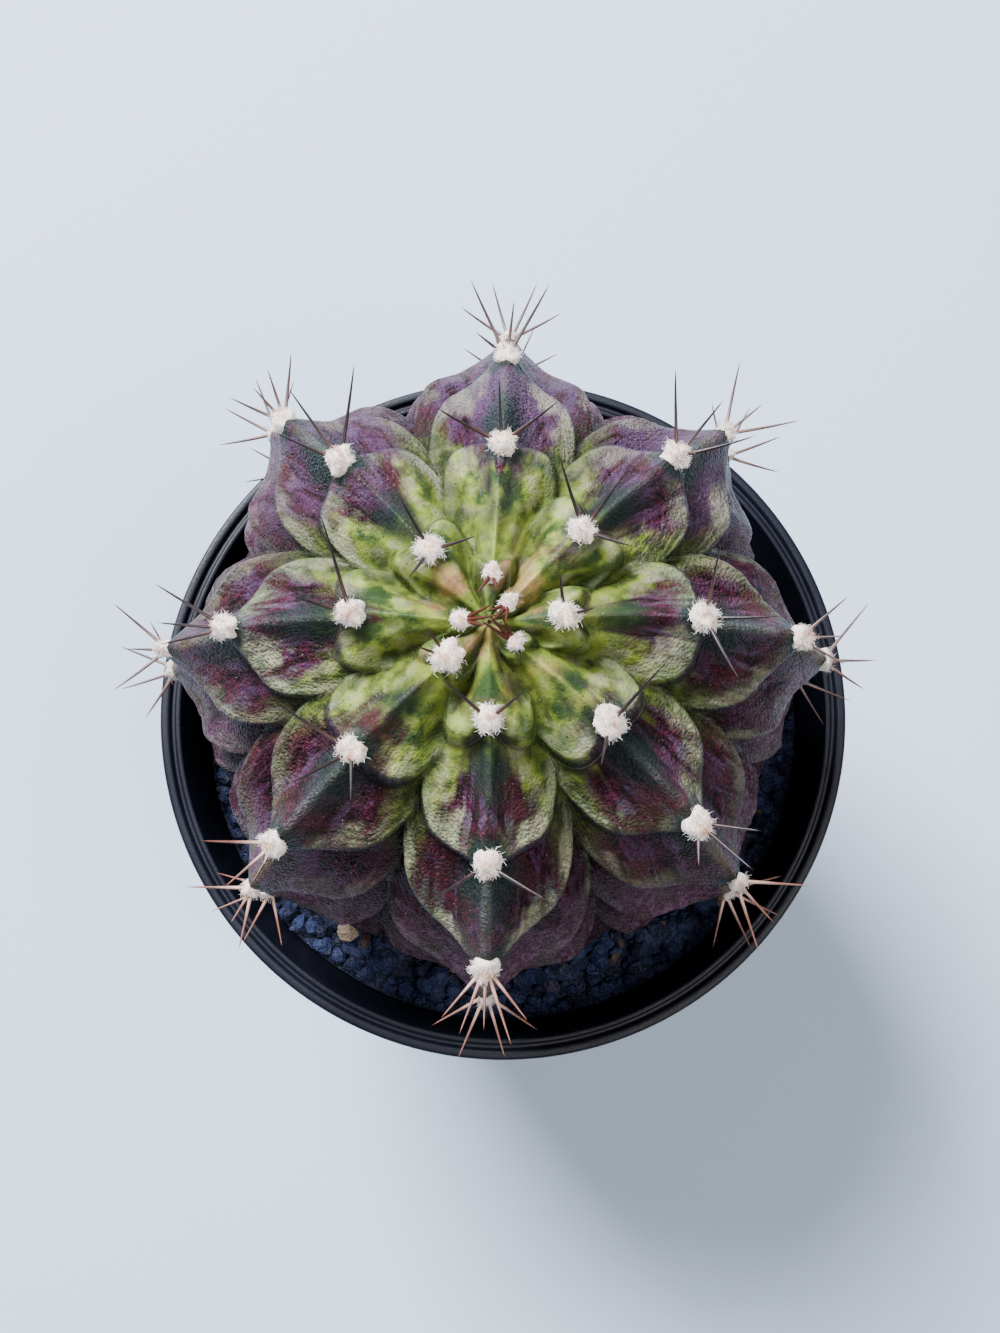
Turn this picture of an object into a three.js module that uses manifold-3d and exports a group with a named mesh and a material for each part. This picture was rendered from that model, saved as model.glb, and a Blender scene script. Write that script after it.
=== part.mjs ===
// A globe cactus of eight ribs in a round, thin-walled nursery pot filled with grit.
// Millimetres, +Z up. The origin is the middle of the pot's base, on the surface it stands on.
// The front of the pot faces -Y.
import * as THREE from 'three';
import { mergeVertices } from 'three/addons/utils/BufferGeometryUtils.js';
import Module from 'manifold-3d';

const wasm = await Module();
wasm.setup();

// Pot: tapered wall, flat base with drain holes, rolled rim with a step inside.
const potHeight = 75;
const rimRadius = 45;
const rimBand = 6;
const wallTopRadius = 43.3;
const baseRadius = 32;
const baseRounding = 0.8;
const wall = 1.2;
const baseThickness = 1.6;
const potSides = 56;
const drainHoles = 8;
const drainRadius = 3;
const drainRing = 22;
// Section of the rim, up its outside and down its inside: inward from its radius, below its top.
const rimSection = [
  [0.5, rimBand], [0, rimBand - 0.5], [0, 0.5], [0.45, 0],
  [1, 0], [1.4, 0.6], [1.8, 0.6], [2.1, 0.4], [2.6, 0.5],
];

// Grit: fills the pot to a little under the rim and has a plain hole for the root collar.
const gap = 0.3;
const gritDepth = 12;
const gritSides = 48;
const gritRings = 6;
const grainCount = 64;
const grainSize = 1.3;
const grainGrowth = 0.9;
const grainInnerRing = 31.5;
const grainClearance = 29.5;
const unevenness = 0.55;
const collarRadius = 16;
const collarDepth = 11;
const collarTaper = 4;

// Cactus body, measured to the tips of the tubercles. Heights are above the rim.
const axisX = -1.09;
const axisY = 3.35;
const bodyRadius = 39.65;
const crownHeight = 33.95;
const waistHeight = 14.3;
const bellyHeight = 25.9;
const bellyPower = 0.46;
const crownShiftX = -0.38;
const crownShiftY = -1.35;
const crownShiftWidth = 0.262;
const dentDepth = 1.6;
const dentWidth = 0.09;

// Tubercles: each new one is five ribs on from the last, and they spread apart as they age.
const ribs = 8;
const ribStep = 5;
const firstRib = 1;
const ribTurn = [-2.7, -2.1, -0.2, 1.0, -1.4, -0.8, 0.3, -1.6];
const firstAngle = 0.0647;
const ageStep = 0.056;
const ageDelay = 3.93;
const tubercleCount = 52;
const fullSpacing = 0.45;
const spacingAge = 0.42;
const areoleCount = 39;

// Depth of the relief: shallow at the crown, full at the waist and fading under it.
const relief = 9.4;
const crownPower = 0.8;
const fadeStart = 1.35;
const fadeSpan = 0.9;
const fade = 0.75;
const crownRelief = 0.4;
const crownBlend = 0.06;

// Line of a tubercle's crest, in units of half a rib across and of the spacing down the rib.
// Its slope is a polynomial of the tip's angle, held between the two ends of lineRange.
const crestLead = 0.08;
const crestSlope = [-1.285, 2.411, -0.616];
const lineRange = [0.3, 1.2];
const crestNose = 0.1;
const crestHook = 0.384;
const hookPower = 4;
const hookReach = 1.2;
const crestEdge = 0.07;

// Section of a tubercle, in the same units. The young ones are knobs with a narrow neck.
const flankDrop = 0.93;
const flankBulge = 0.13;
const flankPast = 2.2;
const ridgeRounding = 0.05;
const youngRounding = 0.25;
const youngAge = 0.25;
const knobAge = 0.5;
const knobPower = 3;
const neck = 0.9;
const neckAge = 0.6;
const innerFall = 0.46;
const outerFall = 2.6;
const lowerFade = 0.55;
const lowerStart = 1.45;
const lowerSpan = 0.3;
const armRidge = 0.05;
const armWidth = 0.12;
const keelHeight = 0.08;
const keelWidth = 0.14;
const reach = 2.4;
const blend = 13;

// Grid of the body: samples across half a rib. One row follows the arms of each tubercle,
// and one of every second tubercle under the belly.
const acrossRib = [-1, -0.75, -0.45, -0.15, 0, 0.15, 0.45, 0.75];
const bellyRow = 36;
const levelStart = 2.1;
const levelSpan = 0.5;
const collarMargin = 0.04;

// Spines of each areole: turn from the outward bearing in degrees, and length in millimetres.
const fans = {
  0: [[-165, 3.8], [-140, 3]],
  1: [[174, 4], [-165, 3.6]],
  2: [[-160, 4], [-175, 3]],
  3: [[155, 4], [-165, 2.5]],
  4: [[-55, 3], [-95, 3.5]],
  5: [[100, 4], [5, 3]],
  6: [[-10, 6], [-130, 5.5], [110, 4.5]],
  7: [[-125, 6.5], [125, 4.5]],
  8: [[70, 7.5], [5, 5.5], [-75, 6]],
  9: [[-75, 10], [-10, 6]],
  10: [[90, 8], [-60, 5]],
  11: [[75, 7.5], [5, 6], [-60, 7]],
  12: [[-75, 9], [-10, 7], [50, 5.5]],
  13: [[80, 7], [-5, 7.5], [-70, 8]],
  14: [[-5, 8.5], [30, 7], [-55, 9.5]],
  15: [[-55, 8.5], [60, 7]],
  16: [[50, 8.5], [5, 7], [-35, 8]],
  17: [[-30, 8], [0, 6.5], [20, 6.5]],
  18: [[-50, 4], [35, 6], [0, 7]],
  19: [[30, 8.5], [-5, 5.5], [-30, 8.5], [60, 3.5]],
  20: [[-45, 7], [0, 6.5], [20, 4.5]],
  21: [[40, 6], [0, 4], [-35, 5]],
  22: [[25, 6], [0, 4.5], [-50, 7], [-25, 5.5]],
  23: [[-40, 6.5], [-20, 7], [0, 6], [20, 8], [40, 6.5]],
  24: [[35, 8], [-5, 5], [-35, 8]],
  25: [[-40, 7.5], [0, 4], [40, 7]],
  26: [[40, 7.5], [-5, 5.5], [-30, 7.5]],
  28: [[-45, 7], [15, 4], [35, 6.5]],
  29: [[50, 8.5], [-35, 5.5], [0, 6]],
};
const hiddenFan = [[-60, 6.5], [-22, 7.5], [18, 7], [58, 6.5]];
const spineRadius = 0.42;
const youngSpineRadius = 0.3;
const rootDepth = 1.3;
const spineBend = 0.06;
const crownRise = 50;
const riseLoss = 0.62;
const lowestRise = -3;
const padProportions = [1.15, 1, 0.95];

const degree = Math.PI / 180;

// Seeded random numbers, the same on every run.
function seededRandom(seed) {
  let state = seed;
  return () => {
    state = (state * 1664525 + 1013904223) % 4294967296;
    return state / 4294967296;
  };
}

// Merges vertices that lie closer than the weld distance and leaves out the triangles that collapse.
function welded(source, weld) {
  const geometry = source.clone();
  geometry.deleteAttribute('normal');
  geometry.deleteAttribute('uv');
  const merged = mergeVertices(geometry, weld);
  const corners = merged.index.array;
  const triangles = [];
  for (let i = 0; i < corners.length; i += 3) {
    const [a, b, c] = [corners[i], corners[i + 1], corners[i + 2]];
    if (a !== b && b !== c && c !== a) triangles.push(a, b, c);
  }
  merged.setIndex(triangles);
  return merged;
}

function toSolid(source) {
  const geometry = welded(source, 1e-4);
  const vertProperties = new Float32Array(geometry.attributes.position.array);
  const triVerts = new Uint32Array(geometry.index.array);
  return new wasm.Manifold(new wasm.Mesh({ numProp: 3, vertProperties, triVerts }));
}

// Keeps the outer skin of a joined solid, so that a hollow sealed inside it is filled.
function outerSkin(solid) {
  const skins = solid.decompose();
  return skins.reduce((best, skin) => (skin.volume() > best.volume() ? skin : best));
}

function toGeometry(solid) {
  const mesh = solid.getMesh();
  const geometry = new THREE.BufferGeometry();
  geometry.setAttribute('position', new THREE.BufferAttribute(mesh.vertProperties, 3));
  geometry.setIndex(new THREE.BufferAttribute(mesh.triVerts, 1));
  const clean = welded(geometry, 1e-3);
  clean.computeVertexNormals();
  return clean;
}

// A lathe around the Z axis from [radius, height] pairs, with the outside on the right.
function lathe(profile, sides) {
  const points = profile.map(([r, z]) => new THREE.Vector2(r, z));
  return new THREE.LatheGeometry(points, sides).rotateX(Math.PI / 2);
}

const smoothStep = (x) => THREE.MathUtils.smoothstep(x, 0, 1);

// Angle from the crown's axis at which tubercle n stands.
function areoleAngle(n) {
  return firstAngle + ageStep * (n - ageDelay * (1 - Math.exp(-n / ageDelay)));
}

function areoleRib(n) {
  return (firstRib + ribStep * n) % ribs;
}

// Rib 0 points to +Y and the others follow clockwise, seen from above.
function ribBearing(rib) {
  return (90 - (360 / ribs) * rib + ribTurn[rib]) * degree;
}

// Spacing of the tubercles on a rib, as an angle from the crown.
function tubercleSpacing(angle) {
  return fullSpacing * (1 - Math.exp(-angle / spacingAge));
}

function wrapAngle(angle) {
  return Math.atan2(Math.sin(angle), Math.cos(angle));
}

// A bell curve of x that is 1 at 0.
function bell(x, width) {
  return Math.exp(-((x / width) ** 2));
}

// How far a crest lies towards the crown from its areole, at a distance across the rib.
// The arms of a young tubercle turn outward as cheeks, and those of an old one turn inward.
function crestLine(across, tip) {
  const age = THREE.MathUtils.clamp(tip, lineRange[0], lineRange[1]);
  const slope = crestSlope[0] + crestSlope[1] * age + crestSlope[2] * age ** 2;
  const rounded = Math.hypot(across, crestNose) - crestNose;
  const hook = crestHook * Math.min(across, hookReach) ** hookPower;
  return slope * rounded + hook - crestLead * age;
}

// Fall of a tubercle's flank: 0 on the ridge, about 1 in the furrow and steeper past it.
function flankFall(across, beyond, tip) {
  const rounding = ridgeRounding + youngRounding * bell(tip, youngAge);
  const necking = 1 + neck * bell(tip, neckAge) * smoothStep(-beyond / 0.9);
  const wide = (Math.hypot(across, rounding) - rounding) * necking;
  if (wide > 1) return 1 + flankPast * (wide - 1);
  const ridge = wide + flankBulge * Math.sin(2 * Math.PI * wide);
  return THREE.MathUtils.lerp(ridge, wide ** knobPower, bell(tip, knobAge));
}

// Height of tubercle n at a point: the side towards the crown falls gently from the crest and
// the outer side steeply, less so low on the plant, and a keel leads to the tip.
function tubercleHeight(n, angle, bearing) {
  const tip = areoleAngle(n);
  const across = Math.abs(wrapAngle(bearing - ribBearing(areoleRib(n)))) * (ribs / Math.PI);
  if (across > reach) return -Infinity;
  const beyond = (angle - tip) / tubercleSpacing(tip) + crestLine(across, tip);
  const edge = Math.hypot(beyond, crestEdge);
  const inner = innerFall * (edge - beyond) / 2;
  const lower = 1 - lowerFade * smoothStep((tip - lowerStart) / lowerSpan);
  const outer = outerFall * lower * (edge + beyond) / 2;
  const keelSpan = smoothStep((beyond + 1) / 0.25) * smoothStep((-0.08 - beyond) / 0.1);
  const keel = keelHeight * (1 - bell(tip, knobAge)) * bell(across, keelWidth) * keelSpan;
  const crest = 1 - innerFall * crestLine(0, tip) + armRidge * bell(beyond, armWidth);
  return crest - flankDrop * flankFall(across, beyond, tip) - inner - outer + keel;
}

// Relief from 0 in the deepest furrow to about 1 at the tips: a smooth maximum over the tubercles.
function reliefAt(angle, bearing) {
  let sum = 0;
  for (let n = 0; n < tubercleCount; n++) {
    sum += Math.exp(blend * tubercleHeight(n, angle, bearing));
  }
  const height = Math.log(sum) / blend;
  return THREE.MathUtils.lerp(crownRelief, height, smoothStep(angle / crownBlend));
}

function reliefDepth(angle) {
  const crown = angle < Math.PI / 2 ? Math.sin(angle) ** crownPower : 1;
  return relief * crown * (1 - fade * smoothStep((angle - fadeStart) / fadeSpan));
}

// A point of the skin: the envelope of the tips, sunk along its normal by the relief.
function skinPoint(angle, bearing, target) {
  const belly = angle > Math.PI / 2;
  const tall = belly ? bellyHeight : crownHeight;
  const ring = belly ? Math.sin(angle) ** bellyPower : Math.sin(angle);
  const sunk = (1 - reliefAt(angle, bearing)) * reliefDepth(angle);
  const lean = Math.atan2(Math.sin(angle) / bodyRadius, Math.cos(angle) / tall);
  const radius = bodyRadius * ring - sunk * Math.sin(lean);
  const shift = bell(angle, crownShiftWidth);
  const dent = dentDepth * bell(angle, dentWidth);
  target.set(
    axisX + crownShiftX * shift + radius * Math.cos(bearing),
    axisY + crownShiftY * shift + radius * Math.sin(bearing),
    potHeight + waistHeight + tall * Math.cos(angle) - sunk * Math.cos(lean) - dent,
  );
}

// The body as one closed grid: rows from the crown down to the root collar, then the collar.
function bodySolid() {
  const bearings = [];
  for (let rib = 0; rib < ribs; rib++) {
    const here = ribBearing(rib);
    const before = wrapAngle(ribBearing((rib + ribs - 1) % ribs) - here);
    const after = wrapAngle(ribBearing((rib + 1) % ribs) - here);
    for (const across of acrossRib) {
      bearings.push([here + Math.abs(across) / 2 * (across < 0 ? before : after), Math.abs(across)]);
    }
  }
  const collarAngle = Math.PI - Math.asin((collarRadius / bodyRadius) ** (1 / bellyPower));
  const rings = [];
  for (let n = 0; areoleAngle(n) < collarAngle - collarMargin; n += n < bellyRow ? 1 : 2) {
    const tip = areoleAngle(n);
    const follow = tubercleSpacing(tip) * (1 - smoothStep((tip - levelStart) / levelSpan));
    rings.push(bearings.map(([bearing, across]) => {
      const point = new THREE.Vector3();
      skinPoint(tip - follow * crestLine(across, tip), bearing, point);
      return point;
    }));
  }
  const gritTop = potHeight - gritDepth;
  const collarTop = potHeight + waistHeight + bellyHeight * Math.cos(collarAngle);
  for (const [radius, z] of [
    [collarRadius, collarTop],
    [collarRadius, gritTop - collarDepth + 3],
    [collarRadius - collarTaper, gritTop - collarDepth],
  ]) {
    rings.push(bearings.map(([bearing]) => new THREE.Vector3(
      axisX + radius * Math.cos(bearing),
      axisY + radius * Math.sin(bearing),
      z,
    )));
  }
  const crown = new THREE.Vector3();
  skinPoint(0, 0, crown);
  const foot = new THREE.Vector3(axisX, axisY, gritTop - collarDepth);
  return gridSolid(rings, crown, foot);
}

// Closes rings of points, which run clockwise seen from above, between a top and a bottom point.
function gridSolid(rings, top, bottom) {
  const count = rings[0].length;
  const points = [...rings.flat(), top, bottom];
  const topIndex = points.length - 2;
  const bottomIndex = points.length - 1;
  const index = [];
  for (let j = 0; j < count; j++) {
    const k = (j + 1) % count;
    index.push(topIndex, k, j);
    for (let i = 0; i + 1 < rings.length; i++) {
      const [a, b] = [i * count + j, i * count + k];
      const [c, d] = [a + count, b + count];
      index.push(a, b, d, a, d, c);
    }
    const last = (rings.length - 1) * count;
    index.push(bottomIndex, last + j, last + k);
  }
  const geometry = new THREE.BufferGeometry().setFromPoints(points);
  geometry.setIndex(index);
  return toSolid(geometry);
}

// Axes at an areole: outward from the skin, sideways, and down the rib.
function areoleFrame(n) {
  const angle = areoleAngle(n);
  const bearing = ribBearing(areoleRib(n));
  const origin = new THREE.Vector3();
  skinPoint(angle, bearing, origin);
  const tall = angle > Math.PI / 2 ? bellyHeight : crownHeight;
  const lean = Math.atan2(Math.sin(angle) / bodyRadius, Math.cos(angle) / tall);
  const outward = new THREE.Vector3(
    Math.sin(lean) * Math.cos(bearing),
    Math.sin(lean) * Math.sin(bearing),
    Math.cos(lean),
  );
  const sideways = new THREE.Vector3(-Math.sin(bearing), Math.cos(bearing), 0);
  const down = new THREE.Vector3().crossVectors(sideways, outward);
  return { angle, bearing, origin, outward, sideways, down };
}

function padSize(n) {
  if (n < 4) return 1.15;
  if (n < 24) return 1.85;
  return 1.5;
}

// A wool pad: a small rough ball, longer down the rib, half sunk in the skin.
function padSolid(n) {
  const { origin, outward, sideways, down } = areoleFrame(n);
  const size = padSize(n);
  const geometry = new THREE.IcosahedronGeometry(1, 0);
  geometry.rotateX(0.3 + n);
  geometry.rotateZ(0.7 * n);
  const place = new THREE.Matrix4().makeBasis(
    down.clone().multiplyScalar(size * padProportions[0]),
    sideways.clone().multiplyScalar(size * padProportions[1]),
    outward.clone().multiplyScalar(size * padProportions[2]),
  );
  place.setPosition(origin);
  geometry.applyMatrix4(place);
  return toSolid(geometry);
}

// A spine: a three-sided cone, thick at its root and bent a little towards the crown.
function spineSolid(n, turn, length) {
  const { angle, bearing, origin, outward, sideways, down } = areoleFrame(n);
  const rise = Math.max(crownRise - riseLoss * angle / degree, lowestRise) * degree;
  const heading = bearing + turn * degree;
  const direction = new THREE.Vector3(
    Math.cos(rise) * Math.cos(heading),
    Math.cos(rise) * Math.sin(heading),
    Math.sin(rise),
  );
  const full = length + rootDepth;
  const geometry = new THREE.ConeGeometry(n < 4 ? youngSpineRadius : spineRadius, full, 3, 2);
  geometry.rotateY(0.4 + turn + n);
  const spots = geometry.attributes.position;
  const lift = spineBend * length;
  for (let i = 0; i < spots.count; i++) {
    const along = spots.getY(i) / full + 0.5;
    spots.setZ(i, spots.getZ(i) + lift * (2 * along - 1) ** 2);
  }
  const up = new THREE.Vector3(0, 0, 1);
  const side = new THREE.Vector3().crossVectors(direction, up).normalize();
  const over = new THREE.Vector3().crossVectors(side, direction);
  const place = new THREE.Matrix4().makeBasis(side, direction, over);
  const root = origin.clone().addScaledVector(direction, full / 2 - rootDepth);
  root.addScaledVector(outward, 0.2 * padSize(n));
  root.addScaledVector(sideways, 0.45 * padSize(n) * Math.sin(turn * degree));
  root.addScaledVector(down, 0.45 * padSize(n) * Math.cos(turn * degree));
  place.setPosition(root);
  geometry.applyMatrix4(place);
  return toSolid(geometry);
}

function cactusSolid() {
  const solids = [bodySolid()];
  for (let n = 0; n < areoleCount; n++) {
    solids.push(padSolid(n));
    for (const [turn, length] of fans[n] ?? hiddenFan) {
      solids.push(spineSolid(n, turn, length));
    }
  }
  return outerSkin(wasm.Manifold.union(solids));
}

// Inner radius of the pot's wall at a height.
function innerRadius(z) {
  const share = (z - baseThickness) / (potHeight - rimBand - baseThickness);
  return baseRadius - wall + (wallTopRadius - baseRadius) * share;
}

function potSolid() {
  const bandFoot = potHeight - rimBand;
  const profile = [
    [0, 0],
    [baseRadius - baseRounding, 0],
    [baseRadius, baseRounding],
    [wallTopRadius, bandFoot - 0.6],
    ...rimSection.map(([inward, below]) => [rimRadius - inward, potHeight - below]),
    [innerRadius(bandFoot), bandFoot],
    [innerRadius(baseThickness + 1), baseThickness + 1],
    [innerRadius(baseThickness) - 1, baseThickness],
    [0, baseThickness],
  ];
  let solid = toSolid(lathe(profile, potSides));
  for (let i = 0; i < drainHoles; i++) {
    const bearing = (2 * Math.PI * (i + 0.5)) / drainHoles;
    const drill = new THREE.CylinderGeometry(drainRadius, drainRadius, 6, 20);
    drill.rotateX(Math.PI / 2);
    drill.translate(drainRing * Math.cos(bearing), drainRing * Math.sin(bearing), 1);
    solid = solid.subtract(toSolid(drill));
  }
  return solid;
}

// The grit: a filled cone with a hole for the collar, an uneven top, and grains sunk into it.
function gritSolid() {
  const random = seededRandom(41);
  const top = potHeight - gritDepth;
  const floor = baseThickness + gap;
  const edge = innerRadius(top) - gap - 0.15;
  const holeRadius = collarRadius + gap + 0.1;
  const holeFloor = top - collarDepth - gap;
  const profile = [
    [0, floor],
    [innerRadius(floor) - 1.4, floor],
    [innerRadius(floor + 1.2) - gap - 0.2, floor + 1.2],
    [edge, top - 0.6],
  ];
  const holeEdge = axisOffset() + holeRadius + 1.2;
  for (let i = 0; i <= gritRings; i++) {
    const radius = THREE.MathUtils.lerp(edge - 0.4, holeEdge, i / gritRings);
    profile.push([radius, top]);
  }
  profile.push([0, top]);
  const geometry = lathe(profile, gritSides);
  const spots = geometry.attributes.position;
  for (let i = 0; i < spots.count; i++) {
    const radius = Math.hypot(spots.getX(i), spots.getY(i));
    if (spots.getZ(i) > top - 0.01 && radius > holeEdge + 0.1 && radius < edge - 0.5) {
      const bearing = Math.atan2(spots.getY(i), spots.getX(i));
      const wave = Math.sin(17 * bearing + 2 * radius) * Math.cos(1.9 * radius - 8 * bearing);
      spots.setZ(i, top + unevenness * wave);
    }
  }
  const solids = [toSolid(geometry)];
  for (let i = 0; i < grainCount; i++) {
    const bearing = Math.PI * (3 - Math.sqrt(5)) * i;
    const size = grainSize + grainGrowth * random();
    const outerRing = edge - size - gap;
    const ring = Math.sqrt(THREE.MathUtils.lerp(grainInnerRing ** 2, outerRing ** 2, random()));
    const x = ring * Math.cos(bearing);
    const y = ring * Math.sin(bearing);
    if (Math.hypot(x - axisX, y - axisY) < grainClearance) continue;
    const grain = new THREE.IcosahedronGeometry(size, 0);
    grain.scale(1 + 0.3 * random(), 1, 0.8);
    grain.rotateX(6 * random());
    grain.rotateZ(6 * random());
    grain.translate(x, y, top + 0.25 * size);
    solids.push(toSolid(grain));
  }
  const hole = new THREE.CylinderGeometry(holeRadius, holeRadius, top + 4 - holeFloor, 40);
  hole.rotateX(Math.PI / 2);
  hole.translate(axisX, axisY, (top + 4 + holeFloor) / 2);
  return outerSkin(wasm.Manifold.union(solids).subtract(toSolid(hole)));
}

function axisOffset() {
  return Math.hypot(axisX, axisY);
}

function node(name, solid, colour, roughness) {
  const material = new THREE.MeshStandardMaterial({ color: colour, roughness, metalness: 0 });
  const mesh = new THREE.Mesh(toGeometry(solid), material);
  mesh.name = name;
  return mesh;
}

const group = new THREE.Group();
group.add(node('pot', potSolid(), 0x161a2a, 0.45));
group.add(node('soil', gritSolid(), 0x1b1d24, 0.9));
group.add(node('cactus', cactusSolid(), 0x6a6f4e, 0.5));

export default group;
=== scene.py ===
# A globe cactus with eight ribs in a black nursery pot, seen from almost straight above.
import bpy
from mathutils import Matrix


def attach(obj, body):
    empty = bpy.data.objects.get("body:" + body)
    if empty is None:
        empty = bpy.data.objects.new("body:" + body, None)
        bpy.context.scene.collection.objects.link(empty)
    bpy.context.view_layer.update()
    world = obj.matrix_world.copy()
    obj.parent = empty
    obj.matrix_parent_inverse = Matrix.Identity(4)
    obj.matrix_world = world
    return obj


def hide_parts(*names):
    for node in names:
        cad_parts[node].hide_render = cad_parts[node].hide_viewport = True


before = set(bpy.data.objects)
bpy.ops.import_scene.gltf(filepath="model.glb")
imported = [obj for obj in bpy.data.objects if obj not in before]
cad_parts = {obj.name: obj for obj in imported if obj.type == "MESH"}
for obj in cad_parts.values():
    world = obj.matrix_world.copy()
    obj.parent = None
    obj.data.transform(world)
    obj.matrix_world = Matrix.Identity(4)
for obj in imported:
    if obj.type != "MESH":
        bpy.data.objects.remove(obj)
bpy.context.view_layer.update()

import math
import bmesh
import bpy
import numpy as np
from mathutils import Vector

mm = 0.001
tau = 2 * math.pi


# Small tools for arrays

def smoothStep(x):
    # 3 x^2 - 2 x^3 from 0 to 1, level outside
    x = np.clip(x, 0.0, 1.0)
    return x * x * (3.0 - 2.0 * x)


def lerp(a, b, share):
    # a at share 0, b at share 1
    return a + (b - a) * share


def unit(v):
    # vectors one unit long
    return v / np.maximum(np.linalg.norm(v, axis=-1, keepdims=True), 1e-9)


def hashed(*whole):
    # mixes whole numbers into repeatable values from 0 to 1
    mixed = np.zeros(np.broadcast(*whole).shape, np.int64)
    for number, prime in zip(whole, (73856093, 19349663, 83492791, 15485863)):
        mixed = mixed ^ (np.asarray(number, np.int64) * prime)
    mixed = ((mixed ^ (mixed >> 13)) * 1274126177) & 0x7FFFFFFF
    return ((mixed >> 7) & 65535) / 65535.0


def valueNoise(points, perMm, seed):
    # smooth lattice noise from 0 to 1: hashed corners of unit cells, blended inside each cell
    q = points * perMm + 100.0
    cell = np.floor(q).astype(np.int64)
    f = smoothStep(q - cell)
    total = 0.0
    for corner in np.ndindex(2, 2, 2):
        at = cell + corner
        weight = np.abs(1 - np.array(corner) - f).prod(-1)
        total = total + weight * hashed(at[..., 0], at[..., 1], at[..., 2], seed)
    return total


def layeredNoise(points, perMm, seed, layers=3):
    # each layer is twice as fine and half as strong
    total, strength = 0.0, 0.5
    for layer in range(layers):
        total = total + strength * valueNoise(points, perMm * 2 ** layer, seed + layer)
        strength /= 2
    return total / (1.0 - 0.5 ** layers)


def aroundAxis(radius, turn, height, axis=(0.0, 0.0)):
    # points on circles round an upright axis
    parts = np.broadcast_arrays(axis[0] + radius * np.cos(turn), axis[1] + radius * np.sin(turn), height)
    return np.stack(parts, -1)


# Meshes from arrays

def newMesh(name, points, polygons):
    # points in millimetres
    mesh = bpy.data.meshes.new(name)
    mesh.from_pydata((np.asarray(points) * mm).tolist(), [], polygons)
    mesh.update()
    return mesh


def addToScene(name, data):
    # an object at the origin, unturned
    made = bpy.data.objects.new(name, data)
    bpy.context.collection.objects.link(made)
    return made


def makePiece(name, points, faces, material, nodes, smooth=True):
    # faces is a list of arrays with one width each
    polygons = [row for part in faces for row in part.tolist()]
    mesh = newMesh(name, points, polygons)
    mesh.polygons.foreach_set("use_smooth", np.full(len(polygons), smooth))
    mesh.materials.append(material)
    piece = addToScene(name, mesh)
    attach(piece, "root")
    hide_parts(*nodes)
    return piece


def addAttribute(piece, name, *columns):
    # three values for each vertex, which the material reads by the name
    layer = piece.data.attributes.new(name, "FLOAT_VECTOR", "POINT")
    layer.data.foreach_set("vector", np.stack(columns, -1).astype(np.float32).ravel())


def ringFaces(rows, columns):
    # quads between rows of points that close on themselves, wound to face outwards
    i, j = np.meshgrid(np.arange(rows - 1), np.arange(columns), indexing="ij")
    k = (j + 1) % columns
    quads = np.stack([i * columns + k, (i + 1) * columns + k, (i + 1) * columns + j, i * columns + j], -1)
    return quads.reshape(-1, 4)


def closeGrid(grid, ends):
    # a grid of closed rings, with a point at each end of it that closes the shape with triangles
    rows, columns = grid.shape[:2]
    count = rows * columns
    ring = np.arange(columns)
    after = np.roll(ring, -1)
    start = np.stack([np.full(columns, count), after, ring], -1)
    last = count - columns
    finish = np.stack([np.full(columns, count + 1), ring + last, after + last], -1)
    return np.concatenate([grid.reshape(-1, 3), ends]), [ringFaces(rows, columns), start, finish]


def sweep(paths, radii, sides):
    # tubes around many paths at once: paths (tube, step, xyz), radii (tube, step)
    tubes, steps = radii.shape
    along = unit(np.gradient(paths, axis=1))
    lean = np.where(np.abs(along[:, :1, 2:]) > 0.9, [[[1.0, 0, 0]]], [[[0, 0, 1.0]]])
    side = unit(np.cross(along, np.broadcast_to(lean, along.shape)))
    over = np.cross(side, along)
    turn = np.arange(sides) * tau / sides
    ring = side[:, :, None] * np.cos(turn)[:, None] + over[:, :, None] * np.sin(turn)[:, None]
    points = paths[:, :, None] + ring * radii[:, :, None, None]
    starts = (np.arange(tubes) * steps * sides)[:, None]
    quads = (ringFaces(steps, sides)[None] + starts[..., None]).reshape(-1, 4)
    cap = np.arange(sides)
    caps = np.concatenate([cap + starts, cap[::-1] + starts + (steps - 1) * sides])
    return points.reshape(-1, 3), quads, caps


# Material tools

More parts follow.
